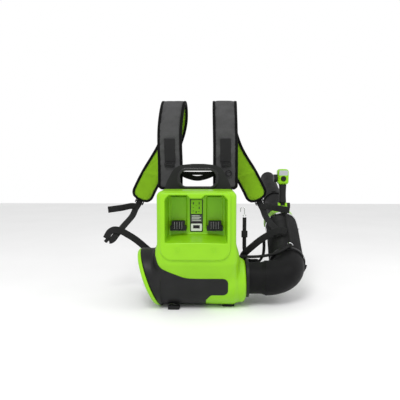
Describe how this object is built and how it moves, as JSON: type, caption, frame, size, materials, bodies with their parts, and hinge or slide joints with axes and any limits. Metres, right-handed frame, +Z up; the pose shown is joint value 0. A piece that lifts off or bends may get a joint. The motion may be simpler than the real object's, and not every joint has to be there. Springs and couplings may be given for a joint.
{
  "type": "backpack leaf blower",
  "caption": "Battery backpack leaf blower: twin-bay housing over an axial fan, side elbow, ridged hose, long tube with control handle, and padded harness.",
  "frame": {"origin": "on the floor below the middle of the fan's axis", "axes": "+Z up, +Y towards the front of the person who wears it, +X towards the elbow and blower tube; the fan's axis runs along X"},
  "size_m": [0.733, 0.8278, 0.7072],
  "materials": {
    "shell_green": "moulded, semi-gloss",
    "black_plastic": "moulded, fine texture",
    "tube_plastic": "blow-moulded, satin",
    "grip_rubber": "overmoulded, matt",
    "rubber": "matt",
    "hose_rubber": "ridged, matt",
    "steel": "satin",
    "chrome": "bright",
    "contact_metal": "satin",
    "label": "printed film with plain blocks",
    "circuit_board": "lacquered",
    "display": "clear window",
    "strap_fabric": "woven",
    "pad_fabric": "woven",
    "lining_fabric": "knitted mesh",
    "webbing": "woven polyester"
  },
  "bodies": {
    "blower": {"battery_housing": "shell_green", "terminal_left": "black_plastic", "terminal_right": "black_plastic", "terminal_blades": "contact_metal", "label_plate": "label", "control_board": "circuit_board", "fan_casing": "shell_green", "intake_cover": "black_plastic", "intake_rim": "shell_green", "intake_grille": "black_plastic", "stator": "black_plastic", "motor_can": "steel", "bearings": "steel", "outlet_collar": "black_plastic", "elbow": "tube_plastic", "lower_clamp": "chrome", "cable_guide": "chrome", "cable_gland": "rubber", "cable_lower": "rubber", "back_frame": "black_plastic", "vibration_mounts": "rubber", "frame_screws": "steel", "feet": "rubber", "back_pad": "pad_fabric", "hip_pads": "pad_fabric", "strap_left": "strap_fabric", "strap_right": "strap_fabric", "lining_left": "lining_fabric", "lining_right": "lining_fabric", "strap_patches": "webbing", "ladder_locks": "black_plastic", "pad_buckles": "black_plastic", "webbing_left": "webbing", "webbing_right": "webbing", "belt_end": "webbing", "hook_strap": "webbing", "hook_slider": "black_plastic"},
    "rotor": {"motor_shaft": "steel", "impeller": "black_plastic", "impeller_nut": "steel"},
    "hose": {"hose_lower": "hose_rubber", "hose_upper": "hose_rubber", "cable_middle": "rubber", "cable_upper": "rubber"},
    "tube": {"upper_clamp": "chrome", "rear_tube": "tube_plastic", "tube_rim": "tube_plastic", "handle_bracket": "shell_green", "bracket_knob": "black_plastic"},
    "nozzle": {"nozzle": "tube_plastic"},
    "handle": {"grip": "grip_rubber", "grip_head": "shell_green", "display": "display"},
    "trigger": {"trigger": "black_plastic"},
    "cruise": {"cruise_lever": "black_plastic"},
    "turbo": {"turbo_button": "black_plastic"},
    "hook": {"snap_hook": "chrome"},
    "ring": {"d_ring": "black_plastic"}
  },
  "joints": [
    {"name": "impeller_spin", "type": "hinge", "parent": "blower", "child": "rotor", "pos_m": [0, 0, 0.092], "axis": [1, 0, 0], "continuous": true},
    {"name": "hose_pitch", "type": "hinge", "parent": "blower", "child": "hose", "pos_m": [0.3165, 0.1238, 0.1452], "axis": [1, 0, 0], "range_deg": [-30, 0], "deforming": ["hose_lower", "cable_middle"]},
    {"name": "hose_yaw", "type": "hinge", "parent": "hose", "child": "tube", "pos_m": [0.3185, 0.2067, 0.2116], "axis": [0, -0.3584, 0.9336], "range_deg": [-25, 0], "deforming": ["hose_upper", "cable_upper"]},
    {"name": "nozzle_slide", "type": "slide", "parent": "tube", "child": "nozzle", "axis": [0, 0.9336, 0.3584], "range_m": [0, 0.05]},
    {"name": "handle_tilt", "type": "hinge", "parent": "tube", "child": "handle", "pos_m": [0.328, 0.288, 0.31], "axis": [1, 0, 0], "range_deg": [-15, 15]},
    {"name": "trigger_pull", "type": "hinge", "parent": "handle", "child": "trigger", "pos_m": [0.328, 0.298, 0.39], "axis": [-1, 0, 0], "range_deg": [0, 8], "stiffness_Nm_per_rad": 0.4, "springref_deg": -8.59},
    {"name": "cruise_turn", "type": "hinge", "parent": "handle", "child": "cruise", "pos_m": [0.3, 0.286, 0.42], "axis": [1, 0, 0], "range_deg": [0, 60]},
    {"name": "turbo_press", "type": "slide", "parent": "handle", "child": "turbo", "axis": [0, 1, 0], "range_m": [0, 0.0025], "stiffness_N_per_m": 300, "springref_m": -0.002},
    {"name": "hook_swing", "type": "hinge", "parent": "blower", "child": "hook", "pos_m": [0.166, 0.1115, 0.291], "axis": [0, 1, 0], "range_deg": [-25, 25]},
    {"name": "ring_swing", "type": "hinge", "parent": "blower", "child": "ring", "pos_m": [0.108, 0.107, 0.453], "axis": [-1, 0, 0], "range_deg": [0, 60]}
  ]
}
